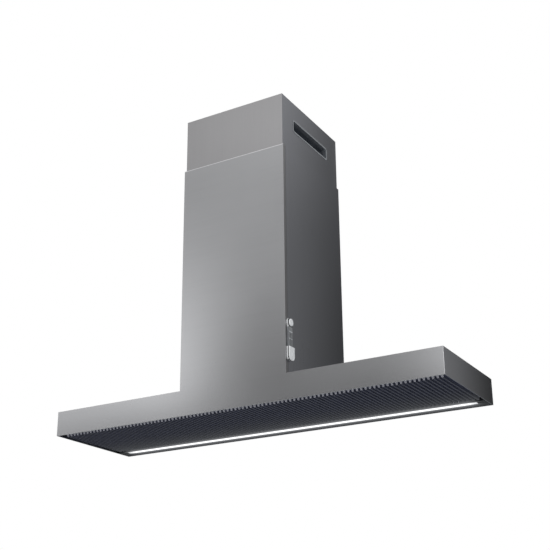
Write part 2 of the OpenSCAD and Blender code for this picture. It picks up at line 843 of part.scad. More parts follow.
// Outline of the strip that fills the rail's slot and rests on its edges.
module slot_filler() {
    ledge = rail_up + rail_t;
    translate([-lamp_mid_y - lamp_w / 2 + diffuser_gap, rail_up])
        square([lamp_w - 2 * diffuser_gap, rail_t + diffuser_t]);
    translate([-lamp_mid_y - lamp_box_w / 2 + diffuser_gap, ledge])
        square([lamp_box_w - 2 * diffuser_gap, diffuser_t]);
}

module lamp_diffuser() {
    color("white") hang() along_x(-lamp_x, lamp_x) slot_filler();
}

module lamp_end_caps() {
    color("black") hang() both_sides() along_x(lamp_x + diffuser_gap, rail_x) slot_filler();
}

// Blower

// Outline of the scroll round the blower's axis, grown outwards by a wall.
function scroll_outline(grow, top) = concat(
    [[-scroll_r0 - grow, top]],
    [for (i = [0:scroll_steps - 1]) let (t = scroll_turn * i / scroll_steps,
            r = scroll_r0 + (scroll_r1 - scroll_r0) * i / scroll_steps + grow)
        [-r * cos(t), -r * sin(t)]],
    [[grow, scroll_r1 + grow], [grow, top]]);

module blower_housing_right() {
    color([0.86, 0.87, 0.88]) hang() translate([0, -blower_y, blower_up]) difference() {
        along_x(0, blower_w / 2) polygon(scroll_outline(wall_t, scroll_top));
        along_x(-over, blower_w / 2 - wall_t) polygon(scroll_outline(0, scroll_top + over));
        rotate([0, 90, 0]) cylinder(h = blower_w, r = inlet_r);
    }
}

module blower_housing_left() {
    mirror([1, 0, 0]) blower_housing_right();
}

module inlet_rings() {
    face = blower_w / 2;
    curl = [for (a = [0:10:90])
        [inlet_r - wall_t + inlet_curl_r * (1 - cos(a)),
            face + frame_t - inlet_curl_r * (1 - sin(a))]];
    profile = concat([[inlet_r - wall_t, face - inlet_depth], [inlet_r - seat_gap, face - inlet_depth],
            [inlet_r - seat_gap, face], [inlet_r + inlet_lip, face], [inlet_r + inlet_lip, face + frame_t]],
        [for (i = [len(curl) - 1:-1:0]) curl[i]]);
    color("white") hang() both_sides() turned_x(-blower_y, blower_up) polygon(profile);
}

module impeller() {
    disc = impeller_disc_t / 2;
    color("gray") hang() translate([0, -blower_y, blower_up]) difference() {
        union() {
            along_x(-disc, disc) circle(impeller_r);
            along_x(-hub_l / 2, hub_l / 2) circle(hub_r);
        }
        along_x(-hub_l, hub_l) circle(shaft_r);
    }
}

// Curved blades between the disc and the end rings, each one a separate solid.
module impeller_blades() {
    blade_mid = (impeller_r + impeller_in_r) / 2;
    x0 = impeller_disc_t / 2 + seat_gap;
    x1 = impeller_l / 2 - impeller_ring_t - seat_gap;
    color("gray") hang() translate([0, -blower_y, blower_up]) both_sides() along_x(x0, x1) intersection() {
        difference() {
            circle(impeller_r - impeller_ring_t / 3);
            circle(impeller_in_r + impeller_ring_t / 3);
        }
        for (i = [0:blade_count - 1]) rotate(i * 360 / blade_count)
            translate([blade_mid, -blade_curve_r]) difference() {
                circle(blade_curve_r + blade_t / 2, $fn = 48);
                circle(blade_curve_r - blade_t / 2, $fn = 48);
                translate([-2 * blade_curve_r, -2 * blade_curve_r])
                    square([4 * blade_curve_r, 2 * blade_curve_r]);
            }
    }
}

module impeller_rings() {
    color("gray") hang() translate([0, -blower_y, blower_up]) both_sides()
        along_x(impeller_l / 2 - impeller_ring_t, impeller_l / 2) difference() {
            circle(impeller_r);
            circle(impeller_in_r);
        }
}

module motor_shaft() {
    color("silver") hang() translate([-hub_l / 2 - shaft_tip, -blower_y, blower_up]) rotate([0, 90, 0])
        cylinder(h = motor_back_x - motor_wall_t + hub_l / 2 + shaft_tip - seat_gap, r = shaft_r);
}

module motor_case() {
    color("gray") hang() translate([0, -blower_y, blower_up]) difference() {
        along_x(motor_front_x, motor_back_x) circle(motor_r);
        along_x(motor_front_x + bell_t, motor_back_x - bell_t) circle(motor_r - motor_wall_t);
        along_x(motor_front_x + motor_wall_t, motor_back_x - motor_wall_t) circle(bearing_r);
        along_x(motor_front_x - over, motor_front_x + bell_t) circle(shaft_hole_r);
    }
}

module motor_bearings() {
    color("silver") hang() translate([0, -blower_y, blower_up])
        for (x = [motor_front_x + motor_wall_t, motor_back_x - motor_wall_t - bearing_l])
            along_x(x, x + bearing_l) difference() {
                circle(bearing_r);
                circle(shaft_r + run_gap);
            }
}

module motor_stator() {
    color("peru") hang() translate([0, -blower_y, blower_up])
        along_x(motor_front_x + bell_t + stator_margin, motor_back_x - bell_t - stator_margin) difference() {
            circle(motor_r - motor_wall_t);
            circle(rotor_r + rotor_gap);
        }
}

module motor_rotor() {
    color("dimgray") hang() translate([0, -blower_y, blower_up])
        along_x(motor_front_x + bell_t + rotor_margin, motor_back_x - bell_t - rotor_margin) difference() {
            circle(rotor_r);
            circle(shaft_r);
        }
}

module motor_bracket() {
    color("darkgray") hang() translate([0, -blower_y, blower_up])
        along_x(motor_back_x, motor_back_x + bracket_arm_t) union() {
            circle(motor_r);
            for (a = [30, 150, 270]) rotate(a) translate([0, -bracket_arm_w / 2])
                square([bracket_arm_r, bracket_arm_w]);
        }
}

module run_capacitor() {
    color("white") hang() translate([cheek_x + frame_t + seat_gap + capacitor_r,
            -frame_t - seat_gap - capacitor_r, capacitor_up])
        cylinder(h = capacitor_h, r = capacitor_r);
}

module support_frame() {
    cheek = [[-frame_t / 2, fascia_h], [-cheek_d, fascia_h], [-cheek_d, cheek_top - cheek_cut],
        [-cheek_d + cheek_cut, cheek_top], [-frame_t / 2, cheek_top]];
    color("darkgray") hang() difference() {
        union() {
            span([-frame_x, -frame_t, fascia_h], [frame_x, 0, frame_top]);
            both_sides() {
                along_x(cheek_x, cheek_x + frame_t) difference() {
                    polygon(cheek);
                    translate([-blower_y, blower_up]) circle(cheek_hole_r);
                }
                span([cheek_x, -cheek_d, fascia_h],
                    [cheek_x + frame_t + foot_w, -foot_back, fascia_h + frame_t]);
            }
        }
        for (x = [-1, 1], z = [-1, 1])
            translate([x * bolt_spacing_x / 2, over, bolt_centre_up + z * bolt_spacing_z / 2])
                rotate([90, 0, 0]) cylinder(h = frame_t + 2 * over, r = bolt_hole_d / 2);
    }
}

// Outlet, non-return flaps and duct

module outlet_collar() {
    base_x = blower_w / 2 - wall_t;
    base_y0 = outlet_y - scroll_r0 / 2 - wall_t;
    base_y1 = outlet_y + scroll_r0 / 2 + wall_t;
    seat_top = flap_up - flap_t / 2 - flap_seat_gap;
    color("whitesmoke") hang() difference() {
        union() {
            span([-base_x, base_y0, outlet_up], [base_x, base_y1, outlet_up + collar_base_t]);
            translate([0, outlet_y, outlet_up]) cylinder(h = collar_base_t + collar_h, r = collar_r);
        }
        translate([0, outlet_y, outlet_up - over]) cylinder(h = collar_h + collar_base_t + 2 * over,
            r = collar_in_r - flap_seat_w);
        translate([0, outlet_y, outlet_up - over]) cylinder(h = seat_top - flap_seat_h - outlet_up + over,
            r = collar_in_r);
        translate([0, outlet_y, seat_top]) cylinder(h = collar_h, r = collar_in_r);
        translate([-collar_r - over, outlet_y, flap_up]) rotate([0, 90, 0])
            cylinder(h = 2 * collar_r + 2 * over, r = flap_rod_r);
    }
}

module flap_rod() {
    color("silver") hang() translate([-collar_r, outlet_y, flap_up]) rotate([0, 90, 0])
        cylinder(h = 2 * collar_r, r = flap_rod_r);
}

// One half disc with its knuckle on the rod: side is -1 for the front half and 1 for the rear half.
// Each half holds one end of the rod, so that both turn on it side by side.
module flap(side) {
    knuckle_l = flap_r - flap_seat_w - flap_split;
    hang() translate([0, outlet_y, flap_up]) rotate(side > 0 ? 0 : 180) difference() {
        union() {
            intersection() {
                translate([0, 0, -flap_t / 2]) cylinder(h = flap_t, r = flap_r);
                union() {
                    span([-flap_r, flap_free_r, -flap_t], [flap_r, flap_r, flap_t]);
                    span([flap_split, 0, -flap_t], [flap_split + knuckle_l, flap_free_r + over, flap_t]);
                }
            }
            translate([flap_split, 0, 0]) rotate([0, 90, 0]) cylinder(h = knuckle_l, r = flap_knuckle_r);
        }
        translate([-flap_r - over, 0, 0]) rotate([0, 90, 0])
            cylinder(h = 2 * flap_r + 2 * over, r = flap_rod_r + run_gap);
    }
}

module flap_front() {
    color("lightgray") flap(-1);
}

module flap_rear() {
    color("lightgray") flap(1);
}

module flex_duct() {
    zs = [for (i = [0:duct_rib_count - 1]) duct_rib_low + i * duct_rib_pitch];
    inside = concat([[duct_r, duct_low]],
        [for (z = zs) each [[duct_r, z], [duct_r + duct_rib_h, z + duct_rib_pitch / 2]]],
        [[duct_r, duct_top - duct_grip], [duct_r, duct_top]]);
    outside = [for (i = [len(inside) - 1:-1:0]) inside[i] + [duct_t, 0]];
    color("silver") hang() translate([0, outlet_y, 0]) rotate_extrude() polygon(concat(inside, outside));
}

// Band round an end of the duct, with its screw housing.
module duct_clamp(z) {
    r = duct_r + duct_t + seat_gap;
    color("gray") hang() translate([0, outlet_y, z]) difference() {
        union() {
            cylinder(h = clamp_h, r = r + clamp_t);
            span([r, -clamp_h, 0], [r + clamp_h, clamp_h, clamp_h]);
        }
        translate([0, 0, -over]) cylinder(h = clamp_h + 2 * over, r = r);
    }
}

module duct_clamp_lower() {
    duct_clamp(duct_low + clamp_in);
}

module duct_clamp_upper() {
    duct_clamp(duct_top - clamp_in - clamp_h);
}

// Electrics above the tray

module electronics_box() {
    color("black") hang() difference() {
        span([box_x - box_w / 2, box_y - box_d / 2, tray_top],
            [box_x + box_w / 2, box_y + box_d / 2, tray_top + box_h - box_t]);
        span([box_x - box_w / 2 + box_t, box_y - box_d / 2 + box_t, tray_top + box_t],
            [box_x + box_w / 2 - box_t, box_y + box_d / 2 - box_t, tray_top + box_h]);
        translate([box_x - box_w / 2 - over, box_y, tray_top + box_h / 2]) rotate([0, 90, 0])
            cylinder(h = box_t + 2 * over, r = gland_r);
    }
}

module electronics_lid() {
    color("dimgray") hang() span([box_x - box_w / 2, box_y - box_d / 2, tray_top + box_h - box_t],
        [box_x + box_w / 2, box_y + box_d / 2, tray_top + box_h]);
}

module cable_gland() {
    wall_x = box_x - box_w / 2;
    color("black") hang() translate([0, box_y, tray_top + box_h / 2]) difference() {
        union() {
            along_x(wall_x - gland_l, wall_x + box_t + gland_bore_r) circle(gland_r);
            along_x(wall_x - gland_l / 2, wall_x) circle(gland_nut_r, $fn = 6);
        }
        along_x(wall_x - gland_l - over, wall_x + box_t + gland_bore_r + over) circle(gland_bore_r);
    }
}

module lamp_driver() {
    color("white") hang() span([-box_x - driver_w / 2, box_y - driver_d / 2, tray_top],
        [-box_x + driver_w / 2, box_y + driver_d / 2, tray_top + box_h - box_t]);
}

// Control

module control_bar() {
    low = slider_low + bar_w / 2 + slider_gap;
    slot_low = stem_up - stem_h / 2 - slider_gap;
    slot_top = stem_up + slider_travel + stem_h / 2 + slider_gap;
    color([0.6, 0.6, 0.62]) hang() translate([side_x, control_y, 0]) difference() {
        union() {
            along_x(0, bar_out) {
                translate([-bar_w / 2, low]) square([bar_w, button_up - low]);
                translate([0, low]) circle(bar_w / 2);
            }
            along_x(0, pad_out) translate([0, button_up]) circle(pad_r);
        }
        along_x(pad_floor, bar_out + over) translate([0, button_up]) circle(button_r + pad_gap);
        along_x(-over, pad_floor + over) translate([0, button_up]) circle(button_stem_r + run_gap);
        span([-over, -stem_slot_w / 2, slot_low], [bar_out + over, stem_slot_w / 2, slot_top]);
    }
}

module lamp_button() {
    face = control_out;
    edge = [for (a = [0:15:90])
        [button_r - button_edge_r + button_edge_r * cos(a), face - button_edge_r + button_edge_r * sin(a)]];
    profile = concat([[0, button_low], [button_r, button_low]], edge, [[0, face]]);
    color("gainsboro") hang() translate([side_x, control_y, button_up]) {
        rotate([90, 0, 90]) rotate_extrude() polygon(profile);
        along_x(-button_stem_l, button_low + over) circle(button_stem_r);
    }
}

// Outline of the slider's grip, drawn smaller by inset on every side.
module grip_outline(inset) {
    r = slider_w / 2;
    translate([0, slider_low + r]) circle(r - inset);
    translate([inset - r, slider_low + r]) square([slider_w - 2 * inset, slider_h - r - inset]);
}

module speed_slider() {
    groove_top = slider_groove_low + slider_groove_w;
    color("gainsboro") hang() translate([side_x, control_y, 0]) {
        difference() {
            union() {
                along_x(slider_gap, slider_groove_low) grip_outline(0);
                along_x(slider_gap, groove_top + over) grip_outline(slider_groove_d);
                along_x(groove_top, control_out) grip_outline(0);
            }
            span([-over, -bar_w / 2 - slider_gap, slider_low + slider_gap - over],
                [bar_out + slider_gap, bar_w / 2 + slider_gap, slider_low + slider_h + over]);
        }
        span([-stem_l, -stem_w / 2, stem_up - stem_h / 2],
            [control_out - over, stem_w / 2, stem_up + stem_h / 2]);
    }
}

module control_housing() {
    x0 = control_case_x - control_case_d;
    y0 = control_y - control_case_w / 2;
    y1 = control_y + control_case_w / 2;
    color("black") hang() difference() {
        span([x0, y0, control_case_low], [control_case_x, y1, control_case_top]);
        span([x0 + skin_t, y0 + skin_t, control_case_low + skin_t],
            [control_case_x + over, y1 - skin_t, control_case_top - skin_t]);
    }
}

module control_board() {
    board_y = control_case_w / 2 - skin_t - seat_gap;
    face_x = board_x + board_t;
    color("darkgreen") hang() {
        span([board_x, control_y - board_y, control_case_low + skin_t + seat_gap],
            [face_x, control_y + board_y, control_case_top - skin_t - seat_gap]);
        translate([face_x, control_y, button_up]) along_x(-board_t / 2, switch_h)
            square(switch_w, center = true);
        span([board_x, control_y - track_w / 2, stem_up - stem_h],
            [face_x + track_h, control_y + track_w / 2, stem_up + slider_travel + stem_h]);
    }
}

front_panel();
lower_chimney_cover();
canopy_shell();
inner_tray();
filter_rails();
support_frame();
cover_glides();
blower_housing_left();
blower_housing_right();
inlet_rings();
motor_case();
motor_stator();
motor_bearings();
motor_bracket();
run_capacitor();
outlet_collar();
flap_rod();
flex_duct();
duct_clamp_lower();
electronics_box();
electronics_lid();
cable_gland();
lamp_driver();
control_bar();
control_housing();
control_board();
lamp_rail();
lamp_board();
lamp_diffuser();
lamp_end_caps();
filter_frame_left();
filter_frame_right();
filter_mesh_left();
filter_mesh_right();
hinge_brackets();
hinge_pins();
catch_magnets();
upper_chimney_cover();
vent_frame_left();
vent_frame_right();
air_deflector();
upper_bracket();
duct_clamp_upper();
ribbed_panel();
panel_tray();
catch_plates();
impeller();
impeller_blades();
impeller_rings();
motor_shaft();
motor_rotor();
flap_front();
flap_rear();
lamp_button();
speed_slider();
filter_latch_left();
filter_latch_right();
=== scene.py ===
"""Wall range hood, dressed for the render. X runs along the wall, Y into it, Z up; metres."""
import math

import bmesh
import bpy
from mathutils import Matrix, Vector


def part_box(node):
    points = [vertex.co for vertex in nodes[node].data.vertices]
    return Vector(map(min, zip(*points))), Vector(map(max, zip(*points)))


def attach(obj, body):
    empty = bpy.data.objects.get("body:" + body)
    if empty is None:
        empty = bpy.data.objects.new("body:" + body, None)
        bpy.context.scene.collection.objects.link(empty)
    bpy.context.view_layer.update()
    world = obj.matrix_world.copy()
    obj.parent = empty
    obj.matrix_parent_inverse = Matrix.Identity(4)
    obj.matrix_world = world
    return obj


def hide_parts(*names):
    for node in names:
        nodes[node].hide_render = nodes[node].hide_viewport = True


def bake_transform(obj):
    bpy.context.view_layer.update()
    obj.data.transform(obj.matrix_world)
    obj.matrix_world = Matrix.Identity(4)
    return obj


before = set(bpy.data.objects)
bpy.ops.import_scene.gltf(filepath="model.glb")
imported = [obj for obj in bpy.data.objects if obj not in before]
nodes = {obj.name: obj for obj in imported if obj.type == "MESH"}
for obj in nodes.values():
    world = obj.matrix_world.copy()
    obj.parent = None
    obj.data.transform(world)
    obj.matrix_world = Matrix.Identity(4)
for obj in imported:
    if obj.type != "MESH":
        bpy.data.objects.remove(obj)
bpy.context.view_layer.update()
scene = bpy.context.scene
scene.view_settings.view_transform = "Standard"


# Camera: the photograph's place, turn and lens

CAMERA_AT = (1.4678, -2.6382, -0.9593)
CAMERA_TURN = (30.09, 20.25, -0.54)  # yaw, pitch and roll, in degrees
SENSOR_WIDTH, LENS = 36, 69.57  # mm
CAMERA_SHIFT = 0.05
FARTHEST_SEEN = 60


def make_camera():
    yaw, pitch, roll = (math.radians(a) for a in CAMERA_TURN)
    right = Vector((math.cos(yaw), math.sin(yaw), 0))
    ahead = Vector((-math.sin(yaw) * math.cos(pitch), math.cos(yaw) * math.cos(pitch),
                    math.sin(pitch)))
    up = right.cross(ahead)
    right, up = (right * math.cos(roll) + up * math.sin(roll),
                 up * math.cos(roll) - right * math.sin(roll))
    data = bpy.data.cameras.new("camera")
    data.sensor_width = SENSOR_WIDTH
    data.lens = LENS
    data.shift_y = CAMERA_SHIFT
    data.clip_end = FARTHEST_SEEN
    camera = bpy.data.objects.new("camera", data)
    turn = Matrix((right, up, -ahead)).transposed().to_4x4()
    camera.matrix_world = Matrix.Translation(CAMERA_AT) @ turn
    scene.collection.objects.link(camera)
    scene.camera = camera


make_camera()


# Node trees

# Sockets whose names come twice on their node
FROM_MIN, FROM_MAX, TO_MIN, TO_MAX = 1, 2, 3, 4
MIX_A, MIX_B, MIX_RESULT = 6, 7, 2
# Most that a tint makes a colour lighter or darker
TINT = 0.12


class Tree:
    """Short names for the making and joining of shader nodes."""

    def __init__(self, tree):
        self.tree = tree

    def add(self, kind, *plugs, **settings):
        node = self.tree.nodes.new("ShaderNode" + kind)
        for name, value in settings.items():
            setattr(node, name, value)
        for socket, value in plugs:
            self.plug(value, node.inputs[socket])
        return node

    def plug(self, value, socket):
        if isinstance(value, bpy.types.NodeSocket):
            self.tree.links.new(value, socket)
        else:
            socket.default_value = value

    def math(self, operation, a, b=0.0):
        return self.add("Math", (0, a), (1, b), operation=operation).outputs[0]

    def plus(self, first, *others):
        for other in others:
            first = self.math("ADD", first, other)
        return first

    def minus(self, a, b):
        return self.math("SUBTRACT", a, b)

    def times(self, first, *others):
        for other in others:
            first = self.math("MULTIPLY", first, other)
        return first

    def absolute(self, value):
        return self.math("ABSOLUTE", value)

    def fading(self, away, length):
        """1 where away is 0, and less by the factor e for each length."""
        return self.math("POWER", math.e, self.math("DIVIDE", away, -length))

    def between(self, value, low, high):
        """low to high as value goes from 0 to 1."""
        return self.add("MapRange", (0, value), (TO_MIN, low), (TO_MAX, high),
                        clamp=True).outputs[0]

    def step(self, value, start, end):
        """0 before start, 1 after end."""
        return self.add("MapRange", (0, value), (FROM_MIN, start), (FROM_MAX, end), clamp=True,
                        interpolation_type="SMOOTHSTEP").outputs[0]

    def place(self, scale=(1, 1, 1)):
        """Object coordinates. Detail is finer along an axis with a greater scale."""
        where = self.add("TexCoord").outputs["Object"]
        return self.add("Mapping", ("Vector", where), ("Scale", scale)).outputs[0]

    def axis(self, name):
        where = self.add("TexCoord").outputs["Object"]
        return self.add("SeparateXYZ", (0, where)).outputs[name]

    def noise(self, scale, detail=3.0, stretch=(1, 1, 1), rough=0.55):
        return self.add("TexNoise", ("Vector", self.place(stretch)), ("Scale", scale),
                        ("Detail", detail), ("Roughness", rough)).outputs["Fac"]

    def ramp(self, value, *stops):
        """Grey that goes through stops of (place, tone)."""
        node = self.add("ValToRGB", (0, value))
        marks = node.color_ramp.elements
        while len(marks) < len(stops):
            marks.new(0.5)
        for mark, (at, tone) in zip(marks, stops):
            mark.position = at
            mark.color = (tone, tone, tone, 1)
        return node.outputs[0]

    def mix(self, share, a, b):
        """a to b as share goes from 0 to 1. Either is a colour or a socket."""
        a, b = ((*c, 1) if isinstance(c, tuple) else c for c in (a, b))
        return self.add("Mix", (0, share), (MIX_A, a), (MIX_B, b),
                        data_type="RGBA").outputs[MIX_RESULT]

    def tint(self, colour, share):
        """colour made lighter and darker by a share that runs from 0 to 1 about 0.5."""
        factor = self.between(share, 1 - TINT, 1 + TINT)
        grey = self.add("CombineColor", (0, factor), (1, factor), (2, factor)).outputs[0]
        return self.add("Mix", (0, 1.0), (MIX_A, (*colour, 1)), (MIX_B, grey), data_type="RGBA",
                        blend_type="MULTIPLY").outputs[MIX_RESULT]

    def bump(self, height, strength, distance, normal=None):
        plugs = [("Height", height), ("Strength", strength), ("Distance", distance)]
        if normal is not None:
            plugs.append(("Normal", normal))
        return self.add("Bump", *plugs).outputs[0]

    def round_edges(self, radius):
        return self.add("Bevel", ("Radius", radius), samples=4).outputs[0]


def material(name, roughness=0.5, metallic=0.0, **sockets):
    made = bpy.data.materials.new(name)
    made.use_nodes = True
    shader = made.node_tree.nodes["Principled BSDF"]
    shader.inputs["Roughness"].default_value = roughness
    shader.inputs["Metallic"].default_value = metallic
    for socket, value in sockets.items():
        shader.inputs[socket.replace("_", " ")].default_value = value
    return made, Tree(made.node_tree), shader


def plug_in(tree, shader, colour, roughness, normal):
    """Plugs in what nearly every finish ends with."""
    tree.plug(colour, shader.inputs["Base Color"])
    tree.plug(roughness, shader.inputs["Roughness"])
    tree.plug(normal, shader.inputs["Normal"])


# Metals

def painted_edge_highlight(tree):
    """1 where the front panel gets a painted highlight: on its cut ends, and along its top."""
    low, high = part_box("front_panel")
    front = tree.step(tree.axis("Y"), low.y + 0.0014, low.y + 0.0010)
    ends = tree.step(tree.absolute(tree.axis("X")), high.x - 0.0012, high.x - 0.0006)
    top = tree.step(tree.axis("Z"), high.z - 0.0020, high.z - 0.0012)
    return tree.times(front, tree.math("MAXIMUM", ends, top))


def brushed_steel(name, colour, along, fold=None, front=None):
    """Stainless sheet with brush lines that run along an axis, faint clouds and softened edges.

    fold is (lowest Z, least distance from the middle, lowest Y) of the front panel's folds, which
    get painted shade;
    it also gives the panel a painted highlight on its cut ends and top. front is (highest Y,
    colour) of a face that looks forwards, painted lighter than the sides as painted light.
    """
    made, tree, shader = material(name, metallic=1.0)
    lines = tree.noise(1.0, 4.0, [4.0 if axis == along else 900.0 for axis in "xyz"], 0.7)
    bands = tree.noise(1.0, 2.0, [1.5 if axis == along else 60.0 for axis in "xyz"])
    clouds = tree.noise(5.0)
    share = tree.plus(tree.times(lines, 0.45), tree.times(bands, 0.15), tree.times(clouds, 0.4))
    skin = tree.tint(colour, share)
    if front:
        # The face that looks forwards is painted lighter than the sides, as painted light
        highest, ahead = front
        ahead = tree.tint(ahead, share)
        skin = tree.mix(tree.step(tree.axis("Y"), highest, highest - 0.0004), skin, ahead)
    if fold:
        lowest, out, back = fold
        # Painted highlight along the front panel's cut ends and top edge
        skin = tree.mix(tree.times(painted_edge_highlight(tree), 0.85), skin, (0.86, 0.86, 0.87))
        # Painted shade on the front panel's folds, darker than the rest of its face
        wide = tree.step(tree.absolute(tree.axis("X")), out - 0.0003, out)
        high = tree.step(tree.axis("Z"), lowest, lowest + 0.0005)
        behind = tree.step(tree.axis("Y"), back, back + 0.0006)
        painted_fold_shade = tree.times(wide, high, behind, 0.8)
        skin = tree.mix(painted_fold_shade, skin, tuple(0.72 * c for c in colour))
    level = tree.plus(tree.times(lines, 0.6), tree.times(clouds, 0.4))
    plug_in(tree, shader, skin, tree.between(level, 0.24, 0.34),
            tree.bump(lines, 0.35, 0.00004, tree.round_edges(0.0005)))
    return made


def galvanised(name, colour=(0.5, 0.51, 0.53), roughness=(0.32, 0.5)):
    """Zinc-coated sheet with its spangle."""
    made, tree, shader = material(name, metallic=1.0)
    cells = tree.add("TexVoronoi", ("Vector", tree.place()), ("Scale", 130.0)).outputs["Color"]
    flake = tree.add("RGBToBW", (0, cells)).outputs[0]
    plug_in(tree, shader, tree.tint(colour, flake), tree.between(flake, *roughness),
            tree.bump(tree.noise(300.0), 0.2, 0.0001, tree.round_edges(0.0004)))
    return made


def cast_metal(name, colour, roughness=(0.35, 0.55), grain=500.0, depth=0.3):
    """Cast or milled light metal with a fine grain."""
    made, tree, shader = material(name, metallic=1.0)
    skin = tree.noise(grain, 4.0)
    plug_in(tree, shader, tree.tint(colour, skin), tree.between(skin, *roughness),
            tree.bump(skin, depth, 0.0003, tree.round_edges(0.0006)))
    return made


def turned_metal(name, colour):
    """Turned or drawn bright metal, with faint rings."""
    made, tree, shader = material(name, metallic=1.0)
    rings = tree.noise(1.0, stretch=(2500, 60, 60))
    plug_in(tree, shader, tree.tint(colour, rings), tree.between(rings, 0.15, 0.3),
            tree.bump(rings, 0.2, 0.00005, tree.round_edges(0.0003)))
    return made


def laminations(name, light, dark, scale):
    """Stacked sheets of iron, seen at their edges."""
    made, tree, shader = material(name, metallic=0.8)
    sheets = tree.add("TexWave", ("Vector", tree.place((1, 0, 0))), ("Scale", scale),
                      ("Distortion", 0.2), bands_direction="X").outputs["Fac"]
    plug_in(tree, shader, tree.mix(sheets, dark, light),
            tree.between(tree.noise(200.0), 0.4, 0.6), tree.bump(sheets, 0.4, 0.0002))
    return made


def foil(name):
    """Crumpled aluminium foil of a flexible duct."""
    made, tree, shader = material(name, metallic=1.0)
    creases = tree.add("TexVoronoi", ("Vector", tree.place()), ("Scale", 110.0),
                       feature="DISTANCE_TO_EDGE").outputs["Distance"]
    wrinkles = tree.noise(90.0, 5.0, rough=0.7)
    plug_in(tree, shader, tree.tint((0.72, 0.73, 0.75), wrinkles),
            tree.between(wrinkles, 0.2, 0.42),
            tree.bump(creases, 0.3, 0.002, tree.bump(wrinkles, 0.5, 0.0015)))
    return made


# Coatings and plastics

def moulded(name, colour, shine=0.5):
    """Moulded plastic or paint with a fine grain. shine is its specular level."""
    made, tree, shader = material(name, Specular_IOR_Level=shine)
    clouds = tree.noise(14.0)
    plug_in(tree, shader, tree.tint(colour, clouds), tree.between(clouds, 0.42, 0.56),
            tree.bump(tree.noise(900.0, 2.0), 0.25, 0.0002, tree.round_edges(0.0006)))
    return made


def rib_coating(name):
    """Blue-black coated aluminium, painted darker at the tips and lighter at the roots to soften
    the shade between the ribs. The front ends of the ribs carry a painted highlight.

    Towards the light strip it is painted greyer, and the ribs' flanks there get a painted glow,
    both as painted light from the strip.
    """
    made, tree, shader = material(name, Specular_IOR_Level=0.22)
    shader.inputs["Emission Color"].default_value = (0.93, 0.96, 1.0, 1)
    low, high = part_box("ribbed_panel")
    depth, height = tree.axis("Y"), tree.axis("Z")
    # Painted greyer towards the light strip, as painted light
    far = tree.step(depth, high.y - 0.150, high.y)
    tip_painted_darker = tree.step(height, low.z + 0.0035, low.z + 0.0006)
    # Painted glow (emission) on the ribs' flanks near the strip, as painted light
    glow = tree.times(tree.fading(tree.minus(high.y, depth), 0.045),
                      tree.fading(tree.minus(height, low.z), 0.0035))
    normal = tree.add("NewGeometry").outputs["Normal"]
    flank = tree.absolute(tree.add("SeparateXYZ", (0, normal)).outputs["X"])
    glow = tree.times(glow, tree.between(flank, 0.022, 0.070))
    tree.plug(glow, shader.inputs["Emission Strength"])
    # Roots painted lighter and tips darker, to soften the shade between the ribs
    colour = tree.mix(tip_painted_darker, (0.078, 0.084, 0.128), (0.029, 0.032, 0.053))
    grey = tree.mix(tip_painted_darker, (0.085, 0.088, 0.098), (0.04, 0.041, 0.047))
    colour = tree.mix(tree.times(far, 0.8), colour, grey)
    # Painted highlight on the ribs' front ends
    front = tree.step(depth, low.y + 0.0042, low.y + 0.0030)
    end = tree.times(front, tree.step(height, low.z + 0.0064, low.z + 0.0058), 0.95)
    colour = tree.mix(end, colour, (0.42, 0.42, 0.46))
    streaks = tree.noise(1.0, stretch=(700, 3, 60))
    colour = tree.mix(tree.times(streaks, 0.25), colour, (0.030, 0.031, 0.045))
    skin = tree.noise(700.0)
    plug_in(tree, shader, colour, tree.between(skin, 0.46, 0.60),
            tree.bump(skin, 0.2, 0.0001, tree.round_edges(0.0004)))
    return made


def rail_coating(name):
    """Dark coating with a painted glow along both edges of the light strip and in the gap before
    it, and painted lighter along the strip than beyond its ends, all as painted light from the
    strip.
    """
    made, tree, shader = material(name, Specular_IOR_Level=0.15)
    shader.inputs["Emission Color"].default_value = (0.95, 0.97, 1.0, 1)
    low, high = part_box("lamp_diffuser")
    across = tree.absolute(tree.minus(tree.axis("Y"), (low.y + high.y) / 2))
    beside = tree.minus(across, (high.y - low.y) / 2)
    above = tree.math("MAXIMUM", tree.minus(tree.axis("Z"), high.z), 0.0)
    away = tree.math("MAXIMUM", tree.plus(beside, above), 0.0)
    # 1 along the strip, 0 beyond its ends: the coating is painted lighter along the strip, as
    #                                       painted light
    ends = tree.step(tree.absolute(tree.axis("X")), high.x + 0.016, high.x - 0.030)
    # Painted glow (emission) beside the strip, as painted light from it
    glow = tree.times(tree.fading(away, 0.0055), ends, 0.40)
    tree.plug(glow, shader.inputs["Emission Strength"])
    tree.plug(tree.between(ends, 0.0, 0.6), shader.inputs["Metallic"])
    skin = tree.noise(900.0, 4.0)
    coat = tree.tint((0.080, 0.082, 0.087), skin)
    plug_in(tree, shader, tree.mix(ends, (0.010, 0.011, 0.014), coat),
            tree.between(skin, 0.35, 0.5),
            tree.bump(skin, 0.1, 0.0003, tree.round_edges(0.0006)))
    return made


def lit_strip(name, strength):
    """Opal strip lit from behind, a little dimmer between the light points and at its ends."""
    made, tree, shader = material(name, roughness=0.35)
    shader.inputs["Base Color"].default_value = (0.85, 0.86, 0.88, 1)
    shader.inputs["Emission Color"].default_value = (1.0, 0.985, 0.96, 1)
    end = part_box("lamp_diffuser")[1].x
    ends = tree.step(tree.absolute(tree.axis("X")), end, end - 0.035)
    points = tree.add("TexWave", ("Vector", tree.place((1, 0, 0))), ("Scale", 18.0),
                      bands_direction="X", wave_profile="SIN").outputs["Fac"]
    level = tree.times(tree.between(points, strength * 0.94, strength),
                       tree.between(ends, 0.3, 1.0))
    tree.plug(level, shader.inputs["Emission Strength"])
    return made


